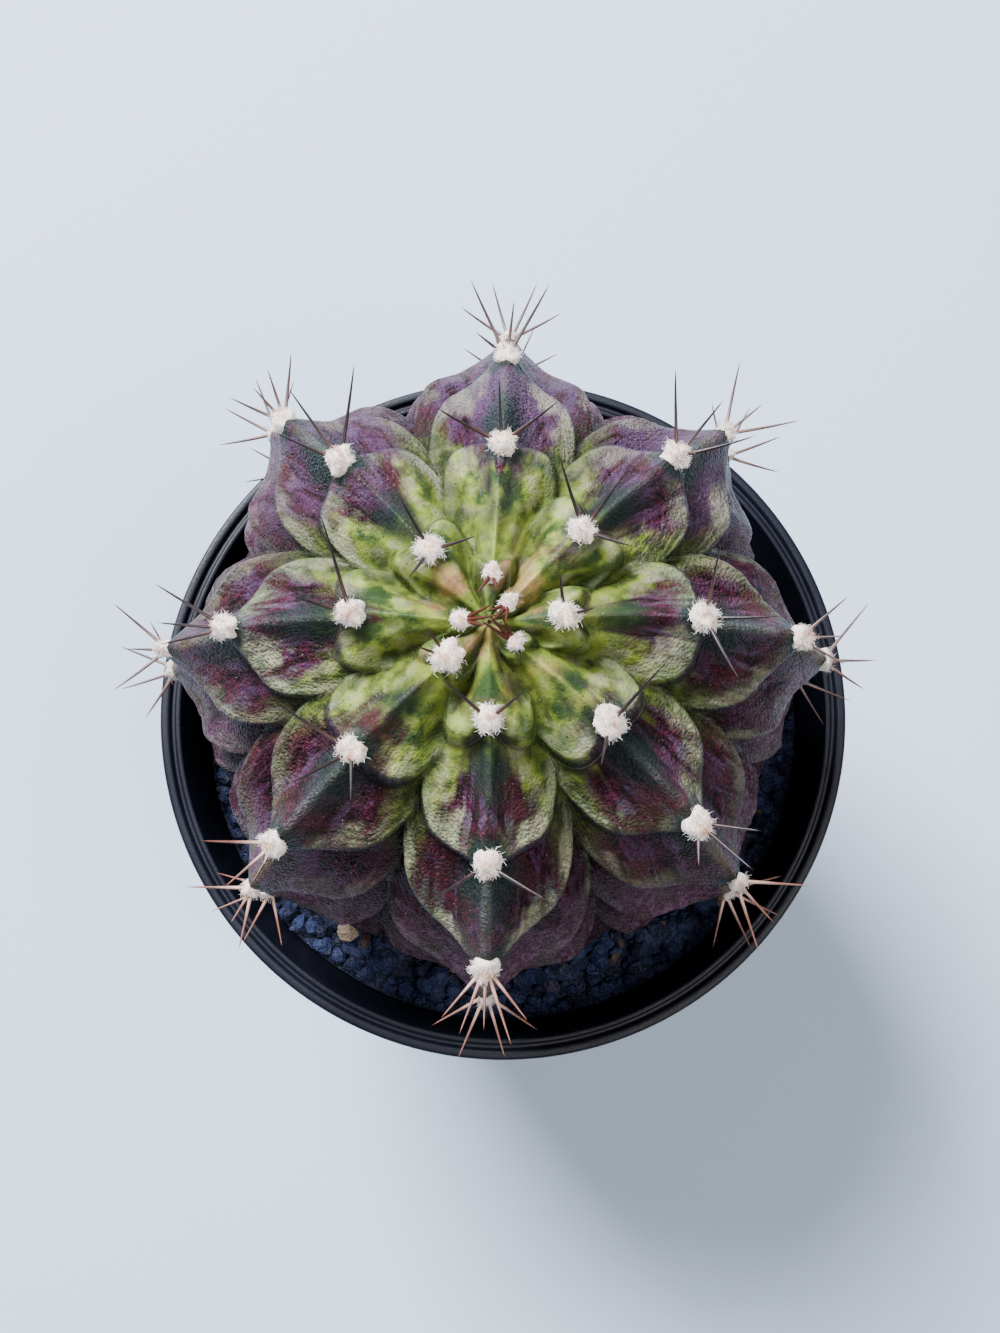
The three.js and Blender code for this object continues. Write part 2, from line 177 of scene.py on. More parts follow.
class NodeTools:
    # short ways to add and join the nodes of one tree, with tones by name

    def __init__(self, tree, tone=None):
        self.tree = tree
        self.tone = tone

    def add(self, kind, values=(), **settings):
        made = self.tree.nodes.new(kind)
        for key, value in settings.items():
            setattr(made, key, value)
        for key, value in dict(values).items():
            self.put(made.inputs[key], value)
        return made

    def put(self, socket, value):
        value = self.tone[value] if isinstance(value, str) else value
        if isinstance(value, bpy.types.NodeSocket):
            self.tree.links.new(value, socket)
        elif isinstance(value, tuple) and len(value) == 3 and socket.type == "RGBA":
            socket.default_value = (*value, 1.0)
        else:
            socket.default_value = value

    def maths(self, operation, a, b=0.0):
        return self.add("ShaderNodeMath", {0: a, 1: b}, operation=operation).outputs[0]

    def times(self, *values):
        product = values[0]
        for value in values[1:]:
            product = self.maths("MULTIPLY", product, value)
        return product

    def plus(self, value, shift, strength=1.0):
        # a value moved by a share of another
        return self.maths("ADD", value, self.times(shift, strength))

    def around(self, value):
        return self.maths("SUBTRACT", value, 0.5)

    def rise(self, value, low, high, start=0.0, end=1.0):
        # smooth step of a value from one limit to another, which may be the lower one
        ends = {"Value": value, "From Min": low, "From Max": high, "To Min": start, "To Max": end}
        return self.add("ShaderNodeMapRange", ends, interpolation_type="SMOOTHSTEP").outputs["Result"]

    def band(self, value, low, full, fade, high):
        # 1 between full and fade, 0 outside low and high
        return self.times(self.rise(value, low, full), self.rise(value, high, fade))

    def noise(self, scale, detail=2.0, rough=0.5, at=None, distortion=0.0):
        values = {"Vector": at or self.objectPoint, "Scale": scale, "Detail": detail}
        values.update({"Roughness": rough, "Distortion": distortion})
        return self.add("ShaderNodeTexNoise", values).outputs["Fac"]

    def cells(self, scale, **settings):
        # distance to the middle of the nearest of many small cells
        values = {"Vector": self.objectPoint, "Scale": scale}
        return self.add("ShaderNodeTexVoronoi", values, **settings).outputs["Distance"]

    def blend(self, share, a, b, mode="MIX"):
        values = {0: share, 6: a, 7: b}
        return self.add("ShaderNodeMix", values, data_type="RGBA", blend_type=mode).outputs[2]

    def coats(self, colour, *layers):
        # one coat over another, each with its share and its colour
        for share, coat in layers:
            colour = self.blend(share, colour, coat)
        return colour

    def vector(self, x, y, z):
        return self.add("ShaderNodeCombineXYZ", {0: x, 1: y, 2: z}).outputs[0]

    def parts(self, vector):
        return self.add("ShaderNodeSeparateXYZ", {0: vector}).outputs


class Shading(NodeTools):
    # one material, with its tones as display colours

    def __init__(self, name, tone=()):
        self.material = bpy.data.materials.new(name)
        self.material.use_nodes = True
        super().__init__(self.material.node_tree, {key: grown(*value) for key, value in dict(tone).items()})
        self.surface = self.tree.nodes["Principled BSDF"].inputs
        self.objectPoint = self.add("ShaderNodeTexCoord").outputs["Object"]

    def attribute(self, name):
        return self.parts(self.add("ShaderNodeAttribute", attribute_name=name).outputs["Vector"])

    def dust(self, patchScale, grainScale, amount):
        values = {"Point": self.objectPoint, "Patch Scale": patchScale, "Grain Scale": grainScale}
        values["Amount"] = amount
        return self.add("ShaderNodeGroup", values, node_tree=dustPatches).outputs["Mask"]

    def finish(self, colour, roughness, plain=()):
        # colour and roughness may change over the surface, the plain values are the same all over
        self.put(self.surface["Base Color"], colour)
        self.put(self.surface["Roughness"], roughness)
        for key, value in dict(plain).items():
            self.surface[key].default_value = value

    def relief(self, height, distance, strength=1.0):
        bump = self.add("ShaderNodeBump", {"Height": height, "Distance": distance, "Strength": strength})
        self.put(self.surface["Normal"], bump.outputs["Normal"])


def grown(r, g, b):
    # a display colour from 0 to 255 as linear light
    return tuple(((v / 255 + 0.055) / 1.055) ** 2.4 if v > 10 else v / 255 / 12.92 for v in (r, g, b))


def makeDustGroup():
    # fine dust in soft patches: large noise sets where it lies, small noise breaks it up
    tree = bpy.data.node_groups.new("dustPatches", "ShaderNodeTree")
    tree.interface.new_socket("Point", in_out="INPUT", socket_type="NodeSocketVector")
    for name in ("Patch Scale", "Grain Scale", "Amount"):
        tree.interface.new_socket(name, in_out="INPUT", socket_type="NodeSocketFloat")
    tree.interface.new_socket("Mask", in_out="OUTPUT", socket_type="NodeSocketFloat")
    s = NodeTools(tree)
    given = s.add("NodeGroupInput").outputs
    patches = s.noise(given["Patch Scale"], 4.0, at=given["Point"])
    grain = s.noise(given["Grain Scale"], 2.0, at=given["Point"])
    lying = s.rise(s.times(patches, grain), 0.2, 0.42)
    s.add("NodeGroupOutput", {"Mask": s.times(lying, given["Amount"])})
    return tree


dustPatches = makeDustGroup()


# Camera

camera = {
    "lens": 40.0,               # on a 36 mm high frame
    "tilt": 9.67,               # degrees from straight down, seen from the front
    "rimPixels": 343.0,         # the rim's radius in the picture, for the distance
    "rimCentre": (503.0, 707.0),
    "picture": (1000.0, 1333.0),
    "rimRadius": 45.0,
    "rimHeight": 75.0,
}


def makeCamera(c):
    # so far off that the rim has its size, and moved so that its centre is in place
    width, height = c["picture"]
    focal = c["lens"] / 36.0 * height
    away = focal * c["rimRadius"] / c["rimPixels"]
    tilt = math.radians(c["tilt"])
    right = (c["rimCentre"][0] - width / 2) / focal * away
    up = (height / 2 - c["rimCentre"][1]) / focal * away
    rim = Vector((0, 0, c["rimHeight"]))
    upWards = Vector((0, math.cos(tilt), math.sin(tilt)))
    backWards = Vector((0, -math.sin(tilt), math.cos(tilt)))
    place = rim - Vector((right, 0, 0)) - upWards * up + backWards * away
    data = bpy.data.cameras.new("camera")
    data.lens = c["lens"]
    data.sensor_width = 36.0
    data.clip_start = 0.01
    made = addToScene("camera", data)
    made.location = place * mm
    made.rotation_euler = (tilt, 0, 0)
    bpy.context.scene.camera = made


makeCamera(camera)
print("camera ready")


# The plant's shape

plant = {
    "axis": (-1.09, 3.35),
    "radius": 39.65,            # to the tubercle tips at the waist
    "crown": 33.95,             # from the waist up
    "waist": 89.3,              # height of the waist above the floor
    "belly": 25.9,              # from the waist down
    "bellyPower": 0.46,
    "crownShift": (-0.38, -1.35),
    "crownShiftWidth": 0.262,
    "collar": 16.0,
    "foot": 52.0,
    "ribs": 8, "firstRib": 1, "ribSkip": 5,
    "ribTurn": (-2.7, -2.1, -0.2, 1.0, -1.4, -0.8, 0.3, -1.6),
    "firstAngle": 0.0647,
    "ageStep": 0.056,
    "ageDelay": 3.93,
    "spacing": 0.45, "spacingGrowth": 0.42,
    "tubercles": 52,
    "areoles": 39,
    "relief": 9.4,              # full depth of the furrows
    "crownPower": 0.8,
    "fade": 0.75, "fadeStart": 1.35, "fadeSpan": 0.9,
    "dentDepth": 1.6, "dentWidth": 0.09,
}

# one tubercle, in units of half a rib across and of the spacing down the rib
tubercle = {
    "crestLead": 0.08, "crestNose": 0.1, "crestEdge": 0.07,
    "crestSlope": (-1.285, 2.411, -0.616), "lineRange": (0.3, 1.2),
    "crestHook": 0.384, "hookPower": 4.0, "hookReach": 1.2,
    "flankDrop": 0.93, "flankBulge": 0.13, "flankPast": 2.2,
    "ridgeRounding": 0.05, "youngRounding": 0.25, "youngAge": 0.25,
    "knobAge": 0.5, "knobPower": 3.0, "neck": 0.9, "neckAge": 0.6, "neckReach": 0.9,
    "innerFall": 0.46, "outerFall": 2.6,
    "lowerFade": 0.55, "lowerStart": 1.45, "lowerSpan": 0.3,
    "armRidge": 0.05, "armWidth": 0.12,
    "keelHeight": 0.08, "keelWidth": 0.14, "keelEnds": (-1.0, 0.25, -0.08, 0.1),
    "reach": 2.4, "blend": 13.0, "ownership": 45.0,
    "topRelief": 0.4, "topAngle": 0.06,
}


def areoleAngle(n):
    # the young tubercles crowd at the crown, and the older ones part at an even step
    delay = plant["ageDelay"]
    return plant["firstAngle"] + plant["ageStep"] * (n - delay * (1.0 - np.exp(-n / delay)))


def areoleRib(n):
    # the spiral goes on by the same number of ribs each time
    return (plant["firstRib"] + plant["ribSkip"] * n) % plant["ribs"]


def ribBearing(rib):
    # even steps, and a few degrees of its own for each rib
    return np.radians(90.0 - 360.0 / plant["ribs"] * rib + np.array(plant["ribTurn"])[rib])


def tubercleSpacing(angle):
    # angle to the next tubercle on a rib, growing towards its full value
    return plant["spacing"] * (1.0 - np.exp(-angle / plant["spacingGrowth"]))


def bell(x, width):
    # e to the power of minus (x / width) squared
    return np.exp(-(x / width) ** 2)


def crestLine(across, tip):
    # how far the crest lies towards the crown: a V whose slope grows with age, hooked at the furrow
    t = tubercle
    age = np.clip(tip, *t["lineRange"])
    slope = t["crestSlope"][0] + t["crestSlope"][1] * age + t["crestSlope"][2] * age ** 2
    rounded = np.hypot(across, t["crestNose"]) - t["crestNose"]
    hook = t["crestHook"] * np.clip(across, 0, t["hookReach"]) ** t["hookPower"]
    return slope * rounded + hook - t["crestLead"] * age


def flankFall(across, beyond, tip):
    # from 0 on the ridge to 1 in the furrow: a sloping roof when old, a knob with a neck when young
    t = tubercle
    rounding = t["ridgeRounding"] + t["youngRounding"] * bell(tip, t["youngAge"])
    necking = 1 + t["neck"] * bell(tip, t["neckAge"]) * smoothStep(-beyond / t["neckReach"])
    wide = (np.hypot(across, rounding) - rounding) * necking
    ridge = wide + t["flankBulge"] * np.sin(tau * np.minimum(wide, 1))
    flank = lerp(ridge, wide ** t["knobPower"], bell(tip, t["knobAge"]))
    return np.where(wide < 1, flank, 1 + t["flankPast"] * (wide - 1))


def tubercleField(n, angle, bearing):
    # height of tubercle n: a gentle slope up to its crest, a steep step beyond it, and a keel
    t = tubercle
    tip = areoleAngle(n)
    turn = np.angle(np.exp(1j * (bearing - ribBearing(areoleRib(n)))))
    across = np.abs(turn) * plant["ribs"] / math.pi
    beyond = (angle - tip) / tubercleSpacing(tip) + crestLine(across, tip)
    edge = np.hypot(beyond, t["crestEdge"])
    start, growing, end, fading = t["keelEnds"]
    span = smoothStep((beyond - start) / growing) * smoothStep((end - beyond) / fading)
    keel = t["keelHeight"] * (1 - bell(tip, t["knobAge"])) * bell(across, t["keelWidth"]) * span
    crest = 1 - t["innerFall"] * crestLine(0.0, tip) + t["armRidge"] * bell(beyond, t["armWidth"])
    lower = 1 - t["lowerFade"] * smoothStep((tip - t["lowerStart"]) / t["lowerSpan"])
    falls = t["innerFall"] * (edge - beyond) / 2 + t["outerFall"] * lower * (edge + beyond) / 2
    height = crest + keel - t["flankDrop"] * flankFall(across, beyond, tip) - falls
    return np.where(across < t["reach"], height, -9.0), beyond, across


def reliefFields(angle, bearing):
    # a smooth maximum over all tubercles, and which part of which tubercle each point lies on
    total = np.zeros(angle.shape)
    weight = np.full(angle.shape, 1e-30)
    beyond, across, own = (np.zeros(angle.shape) for _ in range(3))
    for n in range(plant["tubercles"]):
        height, past, aside = tubercleField(n, angle, bearing)
        total += np.exp(tubercle["blend"] * height)
        share = np.exp(tubercle["ownership"] * height)
        weight += share
        beyond += share * past
        across += share * aside
        own += share * hashed(n, 7)
    relief = np.log(total) / tubercle["blend"]
    relief = lerp(tubercle["topRelief"], relief, smoothStep(angle / tubercle["topAngle"]))
    return relief, beyond / weight, across / weight, own / weight


def skinLean(angle):
    # how far the normal of the envelope leans from upright
    tall = np.where(angle > math.pi / 2, plant["belly"], plant["crown"])
    return np.arctan2(np.sin(angle) / plant["radius"], np.cos(angle) / tall)


def skinPoint(angle, bearing, sunk):
    # the envelope of the tips, sunk along its normal
    belly = angle > math.pi / 2
    tall = np.where(belly, plant["belly"], plant["crown"])
    ring = np.where(belly, np.abs(np.sin(angle)) ** plant["bellyPower"], np.sin(angle))
    lean = skinLean(angle)
    radius = plant["radius"] * ring - sunk * np.sin(lean)
    shift = bell(angle, plant["crownShiftWidth"])
    dent = plant["dentDepth"] * bell(angle, plant["dentWidth"])
    axis = [middle + moved * shift for middle, moved in zip(plant["axis"], plant["crownShift"])]
    height = plant["waist"] + tall * np.cos(angle) - sunk * np.cos(lean) - dent
    return aroundAxis(radius, bearing, height, axis)


def reliefDepth(angle):
    # millimetres from crest to furrow: shallow at the crown, full at the waist, fading under it
    crown = np.where(angle < math.pi / 2, np.sin(np.clip(angle, 0, math.pi)) ** plant["crownPower"], 1.0)
    faded = 1 - plant["fade"] * smoothStep((angle - plant["fadeStart"]) / plant["fadeSpan"])
    return plant["relief"] * crown * faded


def areoleFrames(count):
    # centre, outward, sideways and down the rib, for each areole
    n = np.arange(count)
    angle = areoleAngle(n)
    bearing = ribBearing(areoleRib(n))
    relief = reliefFields(angle, bearing)[0]
    centre = skinPoint(angle, bearing, (1 - relief) * reliefDepth(angle))
    lean = skinLean(angle)
    outward = aroundAxis(np.sin(lean), bearing, np.cos(lean))
    sideways = np.stack([-np.sin(bearing), np.cos(bearing), 0 * bearing], -1)
    return angle, bearing, centre, outward, sideways, np.cross(sideways, outward)


areoleSeats = areoleFrames(plant["areoles"])

skin = {
    "columnsPerRib": 48,
    "rowStep": 0.225,           # rows for each tubercle of age
    "crownRows": 7,
    "levelFrom": 2.1, "levelSpan": 0.5,     # angles where the rows turn level
    "collarMargin": 0.04,
    "collarSteps": (56.0, 3.0, 4.0),        # height of its middle, and height and inset of its foot
    "lumps": (0.32, 0.21),      # millimetres high, and how many for each millimetre
    "wrinkles": (0.13, 8.0),    # millimetres high, and how many across one spacing
    "skirtLumps": (0.5, 0.7),
}


def makeSkin(s, material):
    # rows follow the arms of the tubercles, and each point is sunk by the relief, lumps and wrinkles
    ribs = plant["ribs"]
    share = np.linspace(-1, 1, s["columnsPerRib"], endpoint=False)
    bearings = []
    for rib in range(ribs):
        here = ribBearing(rib)
        before, after = (np.angle(np.exp(1j * (ribBearing(n % ribs) - here))) for n in (rib - 1, rib + 1))
        bearings.append(here + np.abs(share) / 2 * np.where(share < 0, before, after))
    bearings = np.concatenate(bearings)
    acrossRib = np.tile(np.abs(share), ribs)

    collarAngle = math.pi - math.asin((plant["collar"] / plant["radius"]) ** (1 / plant["bellyPower"]))
    tips = areoleAngle(np.arange(0, plant["tubercles"] + 2, s["rowStep"]))
    tips = tips[tips < collarAngle - s["collarMargin"]]
    follow = tubercleSpacing(tips) * (1 - smoothStep((tips - s["levelFrom"]) / s["levelSpan"]))
    rows = tips[:, None] - follow[:, None] * crestLine(acrossRib[None], tips[:, None])
    inner = np.linspace(0.08, 0.9, s["crownRows"])[:, None] * rows[:1]
    angle = np.concatenate([inner, rows])
    bearing = np.broadcast_to(bearings, angle.shape)

    relief, beyond, across, own = reliefFields(angle, bearing)
    flat = skinPoint(angle, bearing, 0 * angle)
    flank = smoothStep((angle - 0.3) / 0.5) * smoothStep((across - 0.1) / 0.3)
    high, perMm = s["lumps"]
    lumps = high * (layeredNoise(flat, perMm, 3) - 0.5) * 2 * smoothStep(angle / 0.4)
    high, count = s["wrinkles"]
    wave = np.sin(tau * (count * beyond + 4.0 * layeredNoise(flat, 0.3, 11)))
    wrinkles = high * wave * flank * smoothStep((layeredNoise(flat, 0.15, 23) - 0.3) / 0.4)
    high, perMm = s["skirtLumps"]
    knobs = high * (valueNoise(flat, perMm, 51) - 0.4) * smoothStep((angle - 1.35) / 0.3)
    points = skinPoint(angle, bearing, (1 - relief) * reliefDepth(angle) - lumps - wrinkles - knobs)

    # the collar goes down into its hole in the grit
    collarTop = plant["waist"] + plant["belly"] * math.cos(collarAngle)
    middle, footRise, footInset = s["collarSteps"]
    heights = (collarTop, middle, plant["foot"] + footRise, plant["foot"])
    radii = [plant["collar"]] * 3 + [plant["collar"] - footInset]
    collar = np.stack([aroundAxis(r, bearings, z, plant["axis"]) for r, z in zip(radii, heights)])
    ends = np.array([points[0].mean(0), [*plant["axis"], plant["foot"]]])
    allPoints, faces = closeGrid(np.concatenate([points, collar]), ends)
    piece = makePiece("cactusSkin", allPoints, faces, material, ["cactus"])

    # what the material reads: place on the tubercle, and age, cavity (for the painted shade in the furrows)
    # and distance to the nearest areole
    halo = np.min(np.linalg.norm(points[..., None, :] - areoleSeats[2], axis=-1), -1)
    rest = len(allPoints) - halo.size

    def spread(*pairs):
        # values of the body, each with one value for the collar
        return [np.append(values, np.full(rest, below)) for values, below in pairs]

    addAttribute(piece, "place", *spread((beyond, 0.0), (across, 0.5), (own, 0.5)))
    addAttribute(piece, "state", *spread((angle, 3.0), (relief, 0.3), (halo, 20.0)))
    return piece


skinTone = {
    "crownYellow": (128, 145, 58), "crownOlive": (92, 106, 50), "deepGreen": (32, 56, 34),
    "cream": (156, 154, 126), "salmon": (188, 128, 100), "sage": (118, 130, 102),
    "grey": (76, 80, 76), "olive": (50, 54, 36), "teal": (26, 42, 38),
    "maroon": (52, 19, 28), "umber": (30, 16, 20), "redBrown": (66, 32, 36),
    "mauve": (76, 54, 82), "violet": (38, 26, 48), "magenta": (84, 26, 50),
    "skirt": (62, 21, 44), "skirtPale": (92, 60, 80), "ochre": (94, 76, 48),
    "speck": (176, 174, 164), "pore": (16, 18, 16),
    "moss": (96, 112, 46), "mossDark": (54, 68, 32),
}


def makeSkinMaterial(tone):
    # zones by place on the tubercle and by age, their edges broken by noise
    s = Shading("cactusSkin", tone)
    rise, blend, times, plus, around = s.rise, s.blend, s.times, s.plus, s.around
    beyond, across, own = s.attribute("place")
    angle, relief, halo = s.attribute("state")

    # noises, from patches of some millimetres down to single pebbles of the skin
    broad = s.noise(230.0, 3.0)
    bloom = s.noise(430.0, 2.0, 0.45)
    patch = s.noise(520.0, 2.5, 0.5)
    blotch = s.noise(900.0, 3.0, 0.6, None, 0.6)
    fine = s.noise(2400.0, 3.0, 0.65)
    grain = s.noise(7000.0, 2.0, 0.6)

    # streaks run outwards from the areole above, and folds lie across them
    lane = s.vector(times(across, 7.0), times(beyond, 2.2), times(own, 40.0))
    streak = s.noise(1.0, 3.0, 0.6, lane, 0.7)
    lane = s.vector(times(across, 5.0), times(beyond, 1.3), times(own, 40.0))
    brush = s.noise(1.0, 1.5, 0.5, lane, 0.5)
    lane = s.vector(times(across, 4.0), times(beyond, 8.5), times(own, 40.0))
    fold = s.noise(1.0, 3.0, 0.6, lane, 1.2)
    past = plus(plus(beyond, around(patch), 0.3), around(streak), 0.25)
    crisp = plus(plus(beyond, around(patch), 0.10), around(fine), 0.03)
    aside = plus(plus(across, around(patch), 0.34), around(fine), 0.06)
    # painted sheen: the far side of the plant, which faces the key lamp, gets a mauve-grey cast
    paintedFarSheen = rise(s.parts(s.objectPoint)[1], 0.004, 0.034)

    # crown: yellow-green, deep green cheeks, cream bloom by the furrows, and salmon where it is youngest
    ridge = plus(plus(bloom, around(fine), 0.3), rise(across, 0.1, 0.7, 0.1, -0.04), 1.0)
    cheeks = times(rise(beyond, -0.95, -0.6), rise(ridge, 0.42, 0.66), 0.9)
    pale = times(rise(plus(bloom, around(fine), 0.25), 0.5, 0.34), rise(across, 0.15, 0.6, 0.1, 0.6))
    young = times(rise(angle, 0.12, 0.32, 0.5, 0.0), rise(plus(broad, around(fine), 0.2), 0.44, 0.68))
    crown = s.coats(
        blend(rise(patch, 0.42, 0.62), "crownYellow", "crownOlive"),
        (cheeks, "deepGreen"), (pale, "cream"), (young, "salmon"))

    # a tubercle's upper side: dark past the crest above it, mauve streaks that are partly the skin's own tone
    # and partly painted sheen, magenta, then olive, then sage; painted mauve sheen on the far side
    dull = times(rise(past, -0.5, -0.15), rise(streak, 0.5, 0.64), rise(angle, 0.9, 1.25, 0.6, 0.1))
    flank = s.coats(
        blend(rise(streak, 0.40, 0.58), "umber", "maroon"),
        (times(rise(past, -1.0, -0.7), rise(streak, 0.44, 0.62), 0.85), "mauve"),
        (times(rise(blotch, 0.46, 0.66), 0.55), "magenta"), (times(rise(broad, 0.50, 0.36), 0.7), "redBrown"),
        (times(rise(past, -0.4, -0.1), rise(fold, 0.42, 0.62, 0.15, 0.8)), "olive"), (dull, "grey"),
        (times(paintedFarSheen, rise(streak, 0.36, 0.54), 0.75), "mauve"))

    aged = plus(plus(plus(angle, around(patch), 0.3), around(brush), 0.45), beyond, 0.1)
    turned = s.maths("SUBTRACT", aged, times(rise(aside, 0.15, 0.8), 0.22))

    # furrow sides stay green for a long way down, then turn magenta
    greenSide = blend(rise(patch, 0.4, 0.6), "moss", "mossDark")
    redSide = blend(rise(patch, 0.45, 0.6), "maroon", "magenta")
    sides = blend(rise(angle, 0.65, 1.0), greenSide, redSide)
    furrows = times(rise(aside, 0.6, 0.92), rise(angle, 0.7, 1.1, 0.85, 0.45))

    # skirt under the waist, with paler lumps
    frill = s.coats(
        blend(rise(blotch, 0.42, 0.6), "skirt", "skirtPale"), (rise(streak, 0.5, 0.62), "maroon"),
        (times(rise(broad, 0.46, 0.62), rise(across, 0.2, 0.9, 0.6, 0.1)), "olive"),
        (times(rise(past, -0.5, -0.1), rise(brush, 0.4, 0.65), 0.3), "grey"))

    # sage bands inside the crests: crisp at the crest, streaky inwards and wider at the furrow
    inward = plus(plus(plus(beyond, around(brush), 0.4), across, 0.1), around(broad), 0.9)
    bands = times(rise(inward, -0.25, -0.03), rise(crisp, -0.01, -0.05))
    bands = times(bands, rise(aside, 0.06, 0.25), rise(angle, 0.2, 0.55, 0.3, 1.0))
    bands = times(bands, rise(aged, 0.95, 1.35, 1.0, 0.08), rise(own, 0.0, 1.0, 0.35, 0.9))
    bands = times(bands, rise(plus(brush, around(streak), 0.3), 0.34, 0.62, 0.2, 1.0))
    bandTone = blend(rise(broad, 0.42, 0.62, 0.0, 0.8), "sage", "cream")
    # painted sheen: on the far side the bands turn mauve as well
    bandTone = blend(times(paintedFarSheen, 0.55), bandTone, "mauve")
    # painted shade: a violet band just past each crest, on the drop beneath it
    paintedCrestShade = times(s.band(crisp, -0.03, 0.03, 0.10, 0.45), rise(angle, 0.35, 0.6), 0.7)

    # pale keel from the areole above, with deep green on both sides of it
    hood = times(rise(aside, 0.5, 0.14), s.band(past, -1.15, -0.95, -0.7, -0.3))
    hood = times(hood, rise(angle, 0.15, 0.4), rise(angle, 0.8, 1.2, 0.85, 0.4))
    keel = times(rise(across, 0.07, 0.025), s.band(past, -1.05, -0.9, -0.5, -0.15))
    keelTone = blend(rise(angle, 0.9, 1.3), "grey", "ochre")
    keel = times(keel, rise(angle, 0.35, 1.1, 0.0, 0.85), rise(streak, 0.35, 0.6, 0.6, 1.0))
    ring = times(rise(plus(halo, around(patch), 3.0), 3.2, 1.7), rise(angle, 0.2, 0.5, 0.3, 0.85))
    colour = s.coats(
        blend(rise(turned, 0.17, 0.43), crown, flank), (furrows, sides),
        (rise(aged, 1.05, 1.35, 0.0, 0.92), frill), (bands, bandTone), (paintedCrestShade, "violet"),
        (hood, "teal"), (keel, keelTone), (ring, "teal"))

    # painted shade in the furrows, fine mottling, painted glints as pale specks, and dark pores
    full = rise(angle, 0.35, 0.75, 0.9, 0.6)
    paintedFurrowShade = rise(relief, 0.0, full, rise(angle, 0.35, 0.75, 0.55, 0.38), 1.0)
    colour = blend(1.0, colour, s.vector(paintedFurrowShade, paintedFurrowShade, paintedFurrowShade), "MULTIPLY")
    mottle = blend(rise(plus(fine, grain, 0.5), 0.5, 1.0), (0.7, 0.7, 0.7), (1.28, 1.28, 1.28))
    colour = blend(rise(angle, 0.3, 0.8, 0.4, 1.0), colour, blend(1.0, colour, mottle, "MULTIPLY"))
    # painted glints: small pale specks where the skin would catch the light
    paintedGlints = times(rise(s.cells(1700.0), 0.14, 0.06), rise(patch, 0.45, 0.6, 0.0, 0.4))
    pores = times(rise(s.cells(1050.0), 0.15, 0.07), 0.7)
    colour = s.coats(colour, (paintedGlints, "speck"), (pores, "pore"))
    s.finish(colour, rise(plus(grain, around(fine), 0.3), 0.35, 0.7, 0.2, 0.36), {
        "Specular IOR Level": 0.05, "Subsurface Weight": 0.06,
        "Subsurface Radius": (0.0012, 0.0012, 0.0006), "Subsurface Scale": 1.0})

    # bump: pebbles about a quarter of a millimetre wide, and folds between them
    pebbles = s.cells(3400.0, feature="SMOOTH_F1")
    height = s.maths("SUBTRACT", times(rise(fold, 0.3, 0.7), 0.7), times(pebbles, 1.8))
    s.relief(times(plus(height, fine, 0.7), rise(angle, 0.25, 0.8, 0.12, 1.0)), 0.00019, 1.0)
    return s.material


skinPiece = makeSkin(skin, makeSkinMaterial(skinTone))
print("skin:", len(skinPiece.data.polygons), "faces")


# Spines: turn from the outward bearing in degrees, and length in millimetres

fans = {
    0: [(-165, 4.4), (-140, 3.6), (172, 3.2)],
    1: [(174, 4.8), (-165, 4.2), (155, 3.4)],
    2: [(-160, 4.8), (-175, 4.2), (165, 3.4)],
    3: [(155, 4), (-165, 2.5)],
    4: [(-55, 3), (-95, 3.5)],
    5: [(100, 4), (5, 3)],
    6: [(-10, 6), (-130, 5.5), (110, 4.5)],
    7: [(-125, 6.5), (125, 4.5)],
    8: [(70, 7.5), (5, 5.5), (-75, 6)],
    9: [(-75, 10), (-10, 6)],
    10: [(90, 8), (-60, 5)],
    11: [(75, 7.5), (5, 6), (-60, 7)],
    12: [(-75, 9), (-10, 7), (50, 5.5)],
    13: [(80, 7), (-5, 7.5), (-70, 8)],
    14: [(-5, 8.5), (30, 7), (-55, 9.5)],
    15: [(-55, 8.5), (60, 7)],
    16: [(50, 8.5), (5, 7), (-35, 8)],
    17: [(-30, 8), (0, 6.5), (20, 6.5)],
    18: [(-50, 4), (35, 6), (0, 7)],
    19: [(30, 8.5), (-5, 5.5), (-30, 8.5), (60, 3.5)],
    20: [(-45, 7), (0, 6.5), (20, 4.5)],
    21: [(40, 6), (0, 4), (-35, 5)],
    22: [(25, 6), (0, 4.5), (-50, 7), (-25, 5.5)],
    23: [(-40, 6.5), (-20, 7), (0, 6), (20, 8), (40, 6.5)],
    24: [(35, 8), (-5, 5), (-35, 8)],
    25: [(-40, 7.5), (0, 4), (40, 7)],
    26: [(40, 7.5), (-5, 5.5), (-30, 7.5)],
    28: [(-45, 7), (15, 4), (35, 6.5)],
    29: [(50, 8.5), (-35, 5.5), (0, 6)],
}

spines = {
    "hiddenFan": [(-60, 6.5), (-22, 7.5), (18, 7), (58, 6.5)],
    "radius": 0.25, "youngRadius": 0.29, "tip": 0.012,
    "rise": (50.0, 0.62, -3.0),     # degrees at the crown, loss for each degree down the body, and the least
    "rootDepth": 1.3,
    "seat": (0.45, 0.2),        # from the pad's centre, across and outwards, in pad sizes
    "sides": 7, "steps": 12,
    "bend": 0.06,
    "taper": (0.5, 0.2),        # power of the length that is left, and share lost evenly
}

pads = {"young": 4, "upper": 24, "sizes": (1.15, 1.85, 1.5)}


def padSize(n):
    # about half its width, in millimetres
    young, upper, lower = pads["sizes"]
    return np.where(n < pads["young"], young, np.where(n < pads["upper"], upper, lower))


